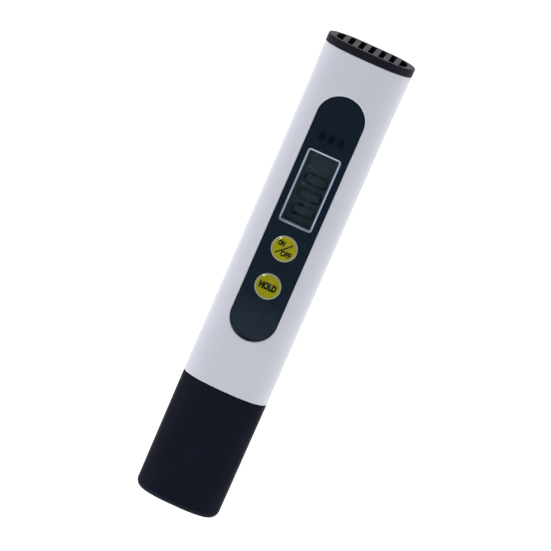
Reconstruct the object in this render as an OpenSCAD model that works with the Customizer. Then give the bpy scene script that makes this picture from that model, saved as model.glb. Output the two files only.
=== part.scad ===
// Digital water tester: a slim pen meter with a pull-off cap, a display,
// two push buttons and a pull-out battery drawer in the top end.
//
// The pen lies on its back. +Y runs to the battery end, +Z out of the display
// and +X to the right as the display is read. The origin is on the rest plane,
// under the middle of the pen. Places along the pen are stations in millimetres
// from the end of the cap, and at() turns a station into Y.

/* [Whole pen] */
// Length from the end of the cap to the battery end
pen_length = 155; // [154:0.5:158]
// Thickness from the back to the crest of the front
pen_thickness = 14; // [14:0.1:15]
// Width of the body below the flare
body_width = 27.8; // [27.4:0.1:28.4]
// Extra width at the battery end
flare_width = 0.5; // [0.2:0.1:0.8]
// Station where the flare begins
flare_start = 126; // [120:1:135]
// Squareness of the oval section, where 2 is an ellipse
squareness = 2.5; // [2.3:0.1:2.8]
// Thickness of the side walls
wall = 1.2; // [1.1:0.1:1.3]

/* [Cap] */
// Station of the seam between the cap and the body
seam = 40.4; // [39:0.1:41]
// Width of the cap at its closed end
cap_end_width = 27.4; // [27:0.1:27.7]
// Corner radius of the closed end, seen from the front
cap_corner = 2.8; // [2.2:0.1:4]
// Rounding of the closed end's front and back edges
cap_edge = 2.2; // [1:0.1:3]

/* [Label and window] */
// Width of the label
label_width = 15; // [14.8:0.1:15.6]
// Station of the label's lower end
label_start = 58.1; // [56:0.1:60]
// Length of the label
label_length = 82; // [80:0.1:83]
// Width of the window
window_width = 10.9; // [10.5:0.1:11.3]
// Length of the window
window_length = 24.4; // [24:0.1:25]
// Station of the window's middle
window_middle = 109; // [108.5:0.1:109.5]

/* [Buttons] */
// Diameter of a button
button_d = 8.15; // [8:0.05:8.6]
// Diameter of the coloured disc in a button
disc_d = 7.2; // [7:0.05:7.5]
// Station of the hold button
hold_station = 76.4; // [76:0.1:77]
// Station of the power button
power_station = 89.2; // [89:0.1:89.7]
// How far a button travels
button_travel = 0.4; // [0.2:0.05:0.45]

/* [Battery drawer] */
// Height of the visible cover
cover_height = 2.55; // [2:0.05:3]
// Number of bars across the cover's grille
grille_bars = 6; // [4:2:6]
// Distance from one bar to the next
bar_pitch = 3.35; // [3.2:0.05:3.5]
// Width of a bar
bar_width = 1.8; // [1.6:0.05:2]
// Diameter of a button cell
cell_d = 11.6; // [11.4:0.1:11.6]
// Thickness of a button cell
cell_t = 5.4; // [5:0.1:5.4]

/* [Probe] */
// Diameter of a measuring pin
pin_d = 2.6; // [2:0.1:2.8]
// Distance between the pins' axes
pin_spacing = 9; // [8:0.5:10]

/* [Hidden] */
$fn = 48;
cut = 1;                                // overshoot of a cutting solid
oval_sides = 64;
back_bulge = 1.05;                      // how far the clipped back would bulge
mid_height = pen_thickness / 2;
body_half = body_width / 2;
cover_start = pen_length - cover_height;
cover_gap = 0.1;

// Heights over the rest plane, from the back to the front
floor_z = 1.3;                          // inside of the rear shell
board_z = 6.6;                          // underside of the circuit board
board_t = 1;
board_top = board_z + board_t;
ceiling_z = pen_thickness - 2.7;        // inside of the front shell
label_floor = ceiling_z + 1.1;          // floor of the label's recess
label_top = label_floor + 0.8;

// Neck under the cap
seam_gap = 0.15;
neck_gap = 0.1;                         // running clearance under the cap
neck_start = 22;
pocket_half = body_half - wall - 0.2;
pocket_rise = mid_height - floor_z;
neck_half = pocket_half - neck_gap;
neck_rise = pocket_rise - neck_gap;
cap_floor = 1.6;                        // thickness of the cap's closed end
seal_station = 35;
seal_width = 1.2;
seal_depth = 0.6;
seal_proud = 0.05;                      // how far the seal stands out of the neck
seal_fit = 0.02;
case_screw_x = 8;
case_screw_station = 30;
case_boss_d = 4.8;                      // meeting bosses round the neck's screws
case_seat_z = 4.2;                      // where the screw heads bear

// Probe
holder_start = 4;
holder_fit = 0.2;                       // step from the neck to the holder
plug_end = 36;
gap_end = 13;                           // inner end of the gap round the pins
gap_half = 7.3;
pin_tip = 5.5;
pin_end = 27;
lead_d = 1;
lead_end = 63;
bead_start = 13.8;
bead_end = 17.5;
bead_d = 2.4;
bore_play = 0.02;                       // round the pins and the bead, all round
lead_play = 0.1;
bead_lead_x = 0.75;

// Electronics
board_start = 60;
board_end = 134;
board_half = 10.5;
board_screw_stations = [66, 129];
board_boss_d = 4.6;
screw_d = 1.9;
screw_head_d = 3.6;
screw_head_t = 1.2;
screw_play = 0.1;
lcd_width = 12;
lcd_length = 26;
lcd_t = 1.6;
lcd_wall = 1.2;
lcd_z = ceiling_z - 0.2 - lcd_t;
hook_stations = [75, 104, 128];
hook_length = 4;
hook_reach = 1.5;                       // from the side wall in to the hook's back
hook_root = 1.2;
hook_arm = 0.8;
hook_play = 0.1;
lip_t = 0.7;                            // height of the hook's lip
lip_drop = 2;                           // from the parting plane down to its underside

// Buttons and switches
button_play = 0.075;                    // running clearance round a button
flange_d = 10;
flange_z = 10.5;
stalk_d = 3.4;
rim_z = label_top + 0.1;                // top of the button under its dome
dome_height = 0.6;
dome_d = button_d - 0.15;
switch_size = 5.2;
switch_t = 1.8;
plunger_d = 2.6;
plunger_top = 9.9;
plunger_length = 1.3;

// Battery bay
bay_half = body_half - 1;
bay_rise = 6;
bay_start = 136.5;
tray_start = 137.6;
tray_end = 150.6;
tray_half = 11.6;
tray_z = 2.6;
tray_top = 9;
tray_play = 0.1;                        // clearance over the rails and under the bay's ceiling
tray_side_play = 0.15;
rail_x = 6;                             // rails under the tray
cell_station = 144.4;
cell_x = 6.15;
cell_z = mid_height - cell_t / 2;
pocket_play = 0.075;
strip_t = 0.25;
strip_well = 0.3;                       // depth of the pocket under the cells
strip_width = 4;
leaf_width = 3;                         // of a contact leaf
contact_z = cell_z + cell_t + 0.05;

// ---- Shapes shared by the parts ----

// Y of a station along the pen
function at(station) = station - pen_length / 2;

// Half width of the body at a station: straight, then flared to the top end
function body_half_at(station) = let (span = pen_length - 5 - flare_start,
        run = max(0, min(1, (station - flare_start) / span)))
    body_half + flare_width / 2 * run * run;

// Inset of a rounding of radius r, at depth d below the end face
function rounded_in(d, r) = d >= r ? 0 : r - sqrt(r * r - (r - d) * (r - d));

// One point of the oval section, whose back is clipped to a flat land
function oval_point(angle, half_w, half_t) = let (c = cos(angle), s = sin(angle),
        across = half_w * sign(c) * pow(abs(c), 2 / squareness),
        rise = half_t * pow(abs(s), 2 / squareness))
    [across, s >= 0 ? rise : -min(half_t, back_bulge * rise)];

function oval(half_w, half_t) =
    [for (i = [0 : oval_sides - 1]) oval_point(360 * i / oval_sides, half_w, half_t)];

// The oval section as a ring of points in space, at a station
function ring(station, half_w, half_t) =
    [for (p = oval(half_w, half_t)) [p[0], at(station), mid_height + p[1]]];

// Skin through rings of equal count, closed by a flat face at each end
module loft(rings) {
    count = len(rings[0]);
    last = len(rings) - 1;
    start_face = [for (i = [count - 1 : -1 : 0]) i];
    end_face = [for (i = [0 : count - 1]) last * count + i];
    sides = [for (r = [0 : last - 1], i = [0 : count - 1])
        let (a = r * count + i, b = r * count + (i + 1) % count)
        each [[a, b, b + count], [a, b + count, a + count]]];
    polyhedron(points = [for (one = rings) each one],
        faces = concat([start_face, end_face], sides));
}

// A section drawn in X and height, extruded between two stations
module along_pen(from, to) {
    translate([0, at(to), mid_height])
        rotate([90, 0, 0])
            linear_extrude(to - from) children();
}

// A block centred across the pen, between two stations and two heights
module block(width, from, to, low, high, x = 0) {
    translate([x - width / 2, at(from), low])
        cube([width, to - from, high - low]);
}

// An upright cylinder between two heights
module post(d, x, station, low, high) {
    translate([x, at(station), low])
        cylinder(d = d, h = high - low);
}

// A cylinder lying along the pen between two stations
module rod(d, x, height, from, to) {
    translate([x, at(from), height])
        rotate([-90, 0, 0])
            cylinder(d = d, h = to - from);
}

// Rectangle with round corners, centred
module round_rectangle(width, length, corner) {
    square([width - 2 * corner, length], center = true);
    square([width, length - 2 * corner], center = true);
    for (x = [-1, 1], y = [-1, 1])
        translate([x * (width / 2 - corner), y * (length / 2 - corner)])
            circle(corner);
}

// Long shape with two round ends, centred across and starting at y = 0
module stadium(width, length) {
    translate([-width / 2, width / 2])
        square([width, length - width]);
    for (y = [width / 2, length - width / 2])
        translate([0, y])
            circle(d = width, $fn = 96);
}

module screw(x, station, head_z, length) {
    post(screw_head_d, x, station, head_z, head_z + screw_head_t);
    post(screw_d, x, station, head_z + screw_head_t, head_z + screw_head_t + length);
}

// ---- Housing ----

// Solid outer form of the body, with the narrower neck under the cap
module body_form() {
    start = seam + seam_gap;
    flare_steps = [0, 0.35, 0.6, 0.8, 1];
    flare_span = pen_length - 5 - flare_start;
    stations = concat([start], [for (f = flare_steps) flare_start + f * flare_span],
        [cover_start]);
    loft([for (s = stations) ring(s, body_half_at(s), mid_height)]);
    along_pen(neck_start, start + cut)
        polygon(oval(neck_half, neck_rise));
}

// The space inside: the neck, the electronics and the battery bay
module body_space() {
    along_pen(neck_start - cut, seam + 3)
        polygon(oval(neck_half - wall, neck_rise - wall));
    intersection() {
        union() {
            along_pen(seam + 2, bay_start + cut)
                polygon(oval(body_half - wall, bay_rise));
            along_pen(bay_start, pen_length)
                polygon(oval(bay_half, bay_rise));
        }
        block(body_width, seam, pen_length, floor_z, ceiling_z);
    }
}

// Bosses for the case screws, trimmed to the neck's own form
module neck_bosses(low, high) {
    intersection() {
        along_pen(neck_start, seam)
            polygon(oval(neck_half, neck_rise));
        for (x = [-case_screw_x, case_screw_x])
            post(case_boss_d, x, case_screw_station, low, high);
    }
}

// Groove round the neck for the seal
module seal_groove() {
    difference() {
        along_pen(seal_station - seal_width / 2 - seal_proud,
                seal_station + seal_width / 2 + seal_proud)
            polygon(oval(neck_half + cut, neck_rise + cut));
        along_pen(seal_station - seal_width, seal_station + seal_width)
            polygon(oval(neck_half - seal_depth, neck_rise - seal_depth));
    }
}

module front_half() {
    block(2 * body_width, 0, pen_length, mid_height, pen_thickness + cut);
}

module rear_half() {
    block(2 * body_width, 0, pen_length, -cut, mid_height);
}

// Hook that springs behind a ledge in the rear shell
module snap_hook(side, station) {
    from = station - hook_length / 2;
    to = station + hook_length / 2;
    inner = body_half - wall - hook_reach;
    block(hook_root, from, to, mid_height - 0.2, mid_height + 2.6,
        side * (inner + hook_root / 2));
    block(hook_arm, from, to, mid_height - lip_drop, mid_height,
        side * (inner + hook_arm / 2));
    block(hook_reach, from, to, mid_height - lip_drop, mid_height - lip_drop + lip_t,
        side * (inner + hook_reach / 2));
}

module front_shell() {
    color("whitesmoke")
    difference() {
        union() {
            difference() {
                intersection() {
                    body_form();
                    front_half();
                }
                body_space();
            }
            for (s = board_screw_stations)
                post(board_boss_d, 0, s, board_top, ceiling_z + 0.3);
            neck_bosses(mid_height, pen_thickness);
            for (side = [-1, 1], s = hook_stations)
                snap_hook(side, s);
        }
        seal_groove();
        translate([0, at(label_start) - 0.1, label_floor])
            linear_extrude(pen_thickness)
                stadium(label_width + 0.2, label_length + 0.2);
        translate([0, at(window_middle), ceiling_z - cut])
            linear_extrude(pen_thickness)
                round_rectangle(window_width - 1.6, window_length - 1.2, 0.8);
        for (s = [hold_station, power_station])
            post(button_d + 2 * button_play, 0, s, ceiling_z - cut, pen_thickness);
        for (s = board_screw_stations)
            post(screw_d + screw_play, 0, s, board_top - cut, ceiling_z);
        for (x = [-case_screw_x, case_screw_x])
            post(screw_d + screw_play, x, case_screw_station, mid_height - cut, ceiling_z);
    }
}

module rear_shell() {
    ledge = body_half - wall - 0.4;
    ledge_depth = 1;
    rail_width = 1.4;
    color("whitesmoke")
    difference() {
        union() {
            difference() {
                intersection() {
                    body_form();
                    rear_half();
                }
                body_space();
            }
            neck_bosses(0, mid_height);
            for (x = [-rail_x, rail_x])
                block(rail_width, bay_start + 1.5, tray_end - 0.6, floor_z - 0.2,
                    tray_z - tray_play, x);
        }
        seal_groove();
        for (side = [-1, 1], s = hook_stations)
            block(ledge_depth, s - hook_length / 2 - hook_play, s + hook_length / 2 + hook_play,
                mid_height - lip_drop - hook_play, mid_height - lip_drop + lip_t + hook_play,
                side * (ledge + ledge_depth / 2));
        for (x = [-case_screw_x, case_screw_x]) {
            post(screw_head_d + 0.2, x, case_screw_station, 0, case_seat_z);
            post(screw_d + 0.3, x, case_screw_station, 0, mid_height + cut);
        }
    }
}

module front_label() {
    color("#18212c")
    difference() {
        translate([0, at(label_start), label_floor])
            linear_extrude(label_top - label_floor)
                stadium(label_width, label_length);
        translate([0, at(window_middle), label_floor - cut])
            linear_extrude(pen_thickness)
                round_rectangle(window_width, window_length, 1);
        for (s = [hold_station, power_station])
            post(button_d + 0.25, 0, s, label_floor - cut, pen_thickness);
    }
}

module display_window() {
    color("lightsteelblue", 0.4)
    translate([0, at(window_middle), label_floor])
        linear_extrude(label_top - label_floor)
            round_rectangle(window_width - 0.1, window_length - 0.1, 0.95);
}

module neck_seal() {
    color("black")
    difference() {
        along_pen(seal_station - seal_width / 2, seal_station + seal_width / 2)
            polygon(oval(neck_half + seal_proud, neck_rise + seal_proud));
        along_pen(seal_station - seal_width, seal_station + seal_width)
            polygon(oval(neck_half - seal_depth + seal_fit, neck_rise - seal_depth + seal_fit));
    }
}

module case_screws() {
    color("silver")
    for (x = [-case_screw_x, case_screw_x])
        screw(x, case_screw_station, case_seat_z - screw_head_t, 6.2);
}

// ---- Electronics ----

module circuit_board() {
    color("darkgreen")
    difference() {
        block(2 * board_half, board_start, board_end, board_z, board_top);
        for (s = board_screw_stations)
            post(screw_d + 0.3, 0, s, board_z - cut, board_top + cut);
    }
}

module board_screws() {
    color("silver")
    for (s = board_screw_stations)
        screw(0, s, board_z - screw_head_t, 4);
}

// Glob of resin over the controller, under the board
module main_chip() {
    glob_d = 9;
    glob_t = 1.5;
    glob_r = (glob_d * glob_d / 4 + glob_t * glob_t) / (2 * glob_t);
    color("#101010")
    intersection() {
        translate([0, at(window_middle), board_z - glob_t + glob_r])
            sphere(glob_r, $fn = 120);
        post(glob_d + 2, 0, window_middle, board_z - 2 * glob_t, board_z);
    }
}

// Crystal can, electrolytic and rows of chip parts, all under the board
module board_parts() {
    color("tan")
    for (x = [-7, -4.5, 4.5, 7], s = [74, 80, 86])
        block(1.25, s, s + 2, board_z - 0.6, board_z, x);
    color("silver")
    rod(2.6, 6.5, board_z - 1.3, 94, 101);
    color("navy")
    post(4, -7, 122, board_z - 3.6, board_z);
}

module switch_bases() {
    color("dimgray")
    for (s = [hold_station, power_station])
        difference() {
            block(switch_size, s - switch_size / 2, s + switch_size / 2,
                board_top, board_top + switch_t);
            post(plunger_d + 0.15, 0, s, plunger_top - plunger_length - button_travel - 0.1,
                ceiling_z);
        }
}

module lcd_glass() {
    color("#4a5048")
    block(lcd_width, window_middle - lcd_length / 2, window_middle + lcd_length / 2,
        lcd_z, lcd_z + lcd_t);
}

module lcd_frame() {
    half = lcd_length / 2;
    color("#202020")
    difference() {
        block(lcd_width + 2 * lcd_wall, window_middle - half - lcd_wall,
            window_middle + half + lcd_wall, board_top, ceiling_z - 0.1);
        block(lcd_width + 0.1, window_middle - half - 0.05, window_middle + half + 0.05,
            board_top - cut, ceiling_z + cut);
    }
}

module zebra_strips() {
    color("pink")
    for (x = [-1, 1])
        block(1.8, window_middle - 11.5, window_middle + 11.5, board_top, lcd_z,
            x * (lcd_width / 2 - 1));
}

// Leaf contacts soldered to the board, reaching over the two cells
module battery_contacts() {
    leaf_top = contact_z + 2 * strip_t;
    dimple_d = 2.4;
    color("gold")
    for (x = [-cell_x, cell_x]) {
        block(leaf_width, board_end - 3.4, board_end, board_top, board_top + strip_t, x);
        block(leaf_width, board_end - strip_t, board_end, board_top, leaf_top, x);
        block(leaf_width, board_end - strip_t, cell_station + 1.8, leaf_top - strip_t,
            leaf_top, x);
        post(dimple_d, x, cell_station, contact_z, leaf_top - 0.1);
    }
}

// ---- Probe ----

module probe_holder() {
    half = neck_half - holder_fit;
    rise = neck_rise - holder_fit;
    depths = [0, 0.3, 0.8, 1.6, 2.5];
    color("#15171d")
    difference() {
        union() {
            loft(concat([for (d = depths) ring(holder_start + d,
                    half - rounded_in(d, 2.5), rise - rounded_in(d, 0.8))],
                [ring(neck_start, half, rise)]));
            along_pen(neck_start - cut, plug_end)
                polygon(oval(neck_half - wall - 0.1, neck_rise - wall - 0.1));
        }
        block(2 * gap_half, 0, gap_end, -cut, pen_thickness + cut);
        for (x = [-case_screw_x, case_screw_x])
            post(case_boss_d + 0.2, x, case_screw_station, 0, pen_thickness);
        for (x = [-pin_spacing / 2, pin_spacing / 2]) {
            rod(pin_d + 2 * bore_play, x, mid_height, gap_end - cut, pin_end + 0.05);
            rod(lead_d + 2 * lead_play, x, mid_height, pin_end, plug_end + cut);
        }
        rod(bead_d + 2 * bore_play, 0, mid_height, bead_start - 0.05, bead_end + 0.05);
        for (x = [-bead_lead_x, bead_lead_x])
            rod(lead_d + 2 * lead_play, x, mid_height, bead_end, plug_end + cut);
    }
}

module probe_pins() {
    tip = 0.5;
    color("lightgray")
    for (x = [-pin_spacing / 2, pin_spacing / 2]) {
        rod(pin_d, x, mid_height, pin_tip + tip, pin_end);
        translate([x, at(pin_tip), mid_height])
            rotate([-90, 0, 0])
                cylinder(d1 = pin_d - 2 * tip, d2 = pin_d, h = tip);
    }
}

module thermistor() {
    color("darkred")
    rod(bead_d, 0, mid_height, bead_start, bead_end);
}

// One insulated wire: straight out of the holder, then down under the board
module lead(x_from, x_to, from) {
    steps = 10;
    sides = 10;
    free = board_start - plug_end;
    path = concat([[x_from, from, mid_height]],
        [for (i = [0 : steps]) let (f = i / steps, blend = (1 - cos(180 * f)) / 2)
            [x_from + (x_to - x_from) * blend, plug_end + f * free,
                mid_height + (board_z - lead_d / 2 - mid_height) * blend]],
        [[x_to, lead_end, board_z - lead_d / 2]]);
    loft([for (p = path) [for (i = [0 : sides - 1]) let (a = 360 * i / sides)
        [p[0] + lead_d / 2 * cos(a), at(p[1]), p[2] + lead_d / 2 * sin(a)]]]);
}

module probe_leads() {
    color("firebrick")
    for (side = [-1, 1])
        lead(side * pin_spacing / 2, side * 5.5, pin_end);
    color("gold")
    for (side = [-1, 1])
        lead(side * bead_lead_x, side * 1.8, bead_end);
}

// ---- Cap ----

module protective_cap() {
    pocket_corner = 1.8;
    cap_half = cap_end_width / 2;
    draft = (body_half - 0.05 - cap_half) / seam;
    steps = 8;
    curve = [for (i = [0 : steps]) pow(i / steps, 2)];
    color("#181a22")
    difference() {
        loft(concat([for (f = curve) let (d = f * cap_corner)
                ring(d, cap_half + draft * d - rounded_in(d, cap_corner),
                    mid_height - rounded_in(d, cap_edge))],
            [ring(seam, cap_half + draft * seam, mid_height)]));
        loft(concat([for (f = curve) let (d = f * pocket_corner)
                ring(cap_floor + d, pocket_half - rounded_in(d, pocket_corner),
                    pocket_rise - rounded_in(d, 0.8))],
            [ring(seam + cut, pocket_half, pocket_rise)]));
    }
}

// ---- Battery drawer ----

// Outline of the slots all together: a squarer oval than the body's
function grille_field() = let (half = 11.5, rise = 5.6, power = 2 / 3.7)
    [for (i = [0 : oval_sides - 1]) let (a = 360 * i / oval_sides)
        [half * sign(cos(a)) * pow(abs(cos(a)), power),
            rise * sign(sin(a)) * pow(abs(sin(a)), power)]];

module battery_drawer() {
    edge = 0.3;
    top_half = body_half + flare_width / 2;
    base = cover_start + cover_gap;
    grille_depth = 2;
    strip_slot = strip_width + 0.2;
    color("#22242c")
    difference() {
        union() {
            loft(concat([ring(base, top_half, mid_height)],
                [for (a = [0 : 30 : 90]) ring(pen_length - edge + edge * sin(a),
                    top_half - edge * (1 - cos(a)), mid_height - edge * (1 - cos(a)))]));
            intersection() {
                along_pen(tray_end - 0.5, base + cut)
                    polygon(oval(bay_half - tray_side_play, bay_rise - tray_side_play));
                block(body_width, tray_end - cut, pen_length, floor_z + tray_play,
                    ceiling_z - tray_play);
            }
            intersection() {
                along_pen(tray_start, tray_end)
                    polygon(oval(bay_half - tray_side_play, bay_rise - tray_side_play));
                block(2 * tray_half, tray_start, tray_end, tray_z, tray_top);
            }
        }
        for (x = [-cell_x, cell_x])
            post(cell_d + 2 * pocket_play, x, cell_station, cell_z - strip_well, pen_thickness);
        block(2 * cell_x + strip_slot, cell_station - strip_slot / 2,
            cell_station + strip_slot / 2, cell_z - strip_well, cell_z);
        difference() {
            along_pen(pen_length - grille_depth, pen_length + cut)
                polygon(grille_field());
            for (i = [0 : grille_bars - 1])
                block(bar_width, pen_length - grille_depth - cut, pen_length + 2 * cut,
                    0, pen_thickness, (i - (grille_bars - 1) / 2) * bar_pitch);
        }
    }
}

// A button cell: the wide can with the narrower anode cup on one side
module cell(x, cup_up) {
    cup = 0.45;
    color("silver") {
        post(cell_d, x, cell_station, cell_z + (cup_up ? 0 : cup),
            cell_z + cell_t - (cup_up ? cup : 0));
        post(cell_d - 2.2, x, cell_station, cell_z, cell_z + cell_t);
    }
}

module cell_left() {
    cell(-cell_x, true);
}

module cell_right() {
    cell(cell_x, false);
}

// Strip under the cells that joins them in series
module cell_bridge() {
    color("gold")
    block(2 * cell_x + strip_width, cell_station - strip_width / 2,
        cell_station + strip_width / 2, cell_z - strip_well, cell_z - strip_well + strip_t);
}

// ---- Buttons ----

// Moulded button: stalk over the switch, flange under the shell, pale rim on top
module button_base(station) {
    color("#d8dcae")
    difference() {
        union() {
            post(stalk_d, 0, station, plunger_top, flange_z + 0.1);
            post(flange_d, 0, station, flange_z, ceiling_z - 0.1);
            post(button_d, 0, station, flange_z, rim_z);
        }
        post(disc_d + 0.02, 0, station, rim_z - 0.3, rim_z + cut);
    }
}

module button_disc(station) {
    color("#c8b41e")
    post(disc_d, 0, station, rim_z - 0.3, rim_z);
}

// Clear lens over the disc
module button_dome(station) {
    dome_r = (dome_d * dome_d / 4 + dome_height * dome_height) / (2 * dome_height);
    color("lightyellow", 0.4)
    intersection() {
        translate([0, at(station), rim_z + dome_height - dome_r])
            sphere(dome_r, $fn = 200);
        post(button_d, 0, station, rim_z, pen_thickness);
    }
}

module button_plunger(station) {
    color("black")
    post(plunger_d, 0, station, plunger_top - plunger_length, plunger_top);
}

module power_button() {
    button_base(power_station);
}

module power_disc() {
    button_disc(power_station);
}

module power_dome() {
    button_dome(power_station);
}

module power_plunger() {
    button_plunger(power_station);
}

module hold_button() {
    button_base(hold_station);
}

module hold_disc() {
    button_disc(hold_station);
}

module hold_dome() {
    button_dome(hold_station);
}

module hold_plunger() {
    button_plunger(hold_station);
}

front_shell();
rear_shell();
front_label();
display_window();
lcd_glass();
lcd_frame();
zebra_strips();
circuit_board();
main_chip();
board_parts();
switch_bases();
battery_contacts();
board_screws();
case_screws();
probe_holder();
probe_pins();
thermistor();
probe_leads();
neck_seal();
protective_cap();
battery_drawer();
cell_left();
cell_right();
cell_bridge();
power_button();
power_disc();
power_dome();
power_plunger();
hold_button();
hold_disc();
hold_dome();
hold_plunger();
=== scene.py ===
"""Looks of the digital water tester: smooth meshes, materials, light and camera
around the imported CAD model. Everything is in metres, in the CAD model's frame:
+Y to the battery end, +Z out of the display, the pen lying on its back."""
from math import acos, copysign, cos, pi, radians, sin, sqrt, tan

import bmesh
import bpy
from mathutils import Matrix, Vector
from mathutils.geometry import tessellate_polygon


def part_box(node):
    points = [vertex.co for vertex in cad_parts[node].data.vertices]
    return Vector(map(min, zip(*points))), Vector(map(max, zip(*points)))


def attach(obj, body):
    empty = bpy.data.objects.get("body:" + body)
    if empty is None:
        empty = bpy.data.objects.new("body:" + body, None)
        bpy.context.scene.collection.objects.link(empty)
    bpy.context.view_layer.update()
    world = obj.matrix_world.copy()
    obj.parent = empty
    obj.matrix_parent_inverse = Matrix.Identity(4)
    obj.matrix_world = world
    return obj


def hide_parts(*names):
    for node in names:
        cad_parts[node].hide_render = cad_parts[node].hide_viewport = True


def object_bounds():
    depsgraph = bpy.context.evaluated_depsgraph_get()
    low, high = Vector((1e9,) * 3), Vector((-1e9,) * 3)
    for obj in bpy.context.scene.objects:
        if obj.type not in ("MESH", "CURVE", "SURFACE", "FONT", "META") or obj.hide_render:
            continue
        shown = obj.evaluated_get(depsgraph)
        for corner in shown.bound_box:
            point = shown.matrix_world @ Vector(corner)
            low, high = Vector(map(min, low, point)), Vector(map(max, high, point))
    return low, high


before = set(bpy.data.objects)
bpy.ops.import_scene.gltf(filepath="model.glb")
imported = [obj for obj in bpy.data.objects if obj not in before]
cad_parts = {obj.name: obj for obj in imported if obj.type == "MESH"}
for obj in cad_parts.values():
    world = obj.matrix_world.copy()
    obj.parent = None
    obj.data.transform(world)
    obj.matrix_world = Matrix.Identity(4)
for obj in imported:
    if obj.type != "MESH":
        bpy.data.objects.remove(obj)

CAD_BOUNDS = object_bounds()

# ---- Sizes, read from the frame or named here ----

MM = 0.001
LOW, HIGH = CAD_BOUNDS
MID_Z = (LOW.z + HIGH.z) / 2
HALF_T = (HIGH.z - LOW.z) / 2
TOP_HALF = HIGH.x

SQUARENESS = 2.5          # of the oval section, where 2 is an ellipse
BACK_BULGE = 1.05         # how far the back would bulge if it weren't flattened
CREASE = 0.006            # softness of the crease beside the flat back
FLARE = 0.25 * MM         # half of the extra width at the battery end
FLARE_SPAN = 24 * MM
FLARE_END = HIGH.y - 5 * MM
BODY_HALF = TOP_HALF - FLARE

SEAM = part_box("protective_cap")[1].y
BODY_LOW = SEAM + 0.15 * MM
BODY_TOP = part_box("front_shell")[1].y
NECK_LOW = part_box("front_shell")[0].y
SEAL_LOW, SEAL_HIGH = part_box("neck_seal")
SEAL_PROUD = 0.05 * MM
NECK_HALF = SEAL_HIGH.x - SEAL_PROUD
NECK_RISE = SEAL_HIGH.z - MID_Z - SEAL_PROUD
NECK_PLAY = 0.1 * MM
WALL = 1.2 * MM
FLOOR_Z = 1.3 * MM
CEILING_Z = HIGH.z - 2.7 * MM
EDGE = 0.1 * MM           # rounding of the shells' edges
RIM = 0.18 * MM           # rounding of the label recess's rim

LABEL_LOW, LABEL_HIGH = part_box("front_label")
LABEL_HALF = LABEL_HIGH.x
LABEL_PLAY = 0.1 * MM
WINDOW_LOW, WINDOW_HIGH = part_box("display_window")
WINDOW_Y = (WINDOW_LOW.y + WINDOW_HIGH.y) / 2
WINDOW_HALF_W = WINDOW_HIGH.x
WINDOW_HALF_L = (WINDOW_HIGH.y - WINDOW_LOW.y) / 2
BAY_HALF = BODY_HALF - 1 * MM
BAY_RISE = 6 * MM
BUTTONS = {"power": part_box("power_button"), "hold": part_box("hold_button")}
BUTTON_R = 4.075 * MM
SCREW_R = 1.8 * MM        # of a head


def middle(box):
    """The centre of a box of two corners."""
    return (box[0] + box[1]) / 2


def quarter(steps):
    """Angles from 0 to a right angle."""
    return [pi / 2 * k / steps for k in range(steps + 1)]


def rounded_in(d, r):
    """How far a rounding of radius r pulls a wall in, at a depth d from the end."""
    return 0 if d >= r else r - sqrt(r * r - (r - d) ** 2)


# ---- Making meshes ----

def add_object(name, data):
    """A new object of the scene."""
    thing = bpy.data.objects.new(name, data)
    bpy.context.scene.collection.objects.link(thing)
    return thing


def evaluated_mesh(thing):
    """A mesh of an object with its modifiers or its text worked out."""
    depsgraph = bpy.context.evaluated_depsgraph_get()
    return bpy.data.meshes.new_from_object(thing.evaluated_get(depsgraph))


def finish_mesh(mesh):
    """Outward normals, smooth shading, and sharp edges where faces meet at an angle."""
    sharp = radians(40)
    bm = bmesh.new()
    bm.from_mesh(mesh)
    bmesh.ops.remove_doubles(bm, verts=bm.verts, dist=1e-8)
    bmesh.ops.recalc_face_normals(bm, faces=bm.faces)
    for face in bm.faces:
        face.smooth = True
    for edge in bm.edges:
        edge.smooth = edge.calc_face_angle(0) < sharp
    bm.to_mesh(mesh)
    bm.free()


def solid(name, verts, faces):
    """A mesh object from corner points and faces, not yet part of the model."""
    mesh = bpy.data.meshes.new(name)
    mesh.from_pydata([tuple(v) for v in verts], [], faces)
    finish_mesh(mesh)
    return add_object(name, mesh)


def skin(loops, start=True, end=True):
    """Points and faces of a surface through loops of equal count."""
    count = len(loops[0])
    verts = [p for loop in loops for p in loop]
    faces = []
    for k in range(len(loops) - 1):
        for i in range(count):
            a = k * count + i
            b = k * count + (i + 1) % count
            faces.append((a, b, b + count, a + count))
    if start:
        faces.append(tuple(range(count))[::-1])
    if end:
        faces.append(tuple(range(len(verts) - count, len(verts))))
    return verts, faces


def loft(name, loops):
    """A closed solid through loops, flat at both ends."""
    return solid(name, *skin(loops))


def ring(name, loops):
    """A closed ring through loops, the last of them joined to the first."""
    verts, faces = skin(loops, start=False, end=False)
    count = len(loops[0])
    last = len(verts) - count
    faces += [(last + i, last + (i + 1) % count, (i + 1) % count, i) for i in range(count)]
    return solid(name, verts, faces)


def lathe(name, profile, place, sides=72):
    """A solid of revolution. profile is (radius, height) from axis to axis."""
    verts, faces, rings = [], [], []
    for radius, height in profile:
        count = sides if radius else 1
        rings.append(range(len(verts), len(verts) + count))
        verts += [place @ Vector((radius * cos(a), radius * sin(a), height))
                  for a in (2 * pi * i / count for i in range(count))]
    for low, high in zip(rings, rings[1:]):
        for i in range(sides):
            j = (i + 1) % sides
            if len(low) == 1:
                faces.append((low[0], high[j], high[i]))
            elif len(high) == 1:
                faces.append((low[i], low[j], high[0]))
            else:
                faces.append((low[i], low[j], high[j], high[i]))
    return solid(name, verts, faces)


def rounded(radius, height, r, turn=1):
    """Points of a round edge of radius r, that ends a cylinder at a height.
    turn is 1 for the top edge, from the side in, and -1 for the bottom edge, going out."""
    points = [(radius - r + r * cos(a), height - turn * (r - r * sin(a)))
              for a in quarter(5)]
    return points if turn == 1 else points[::-1]


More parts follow.
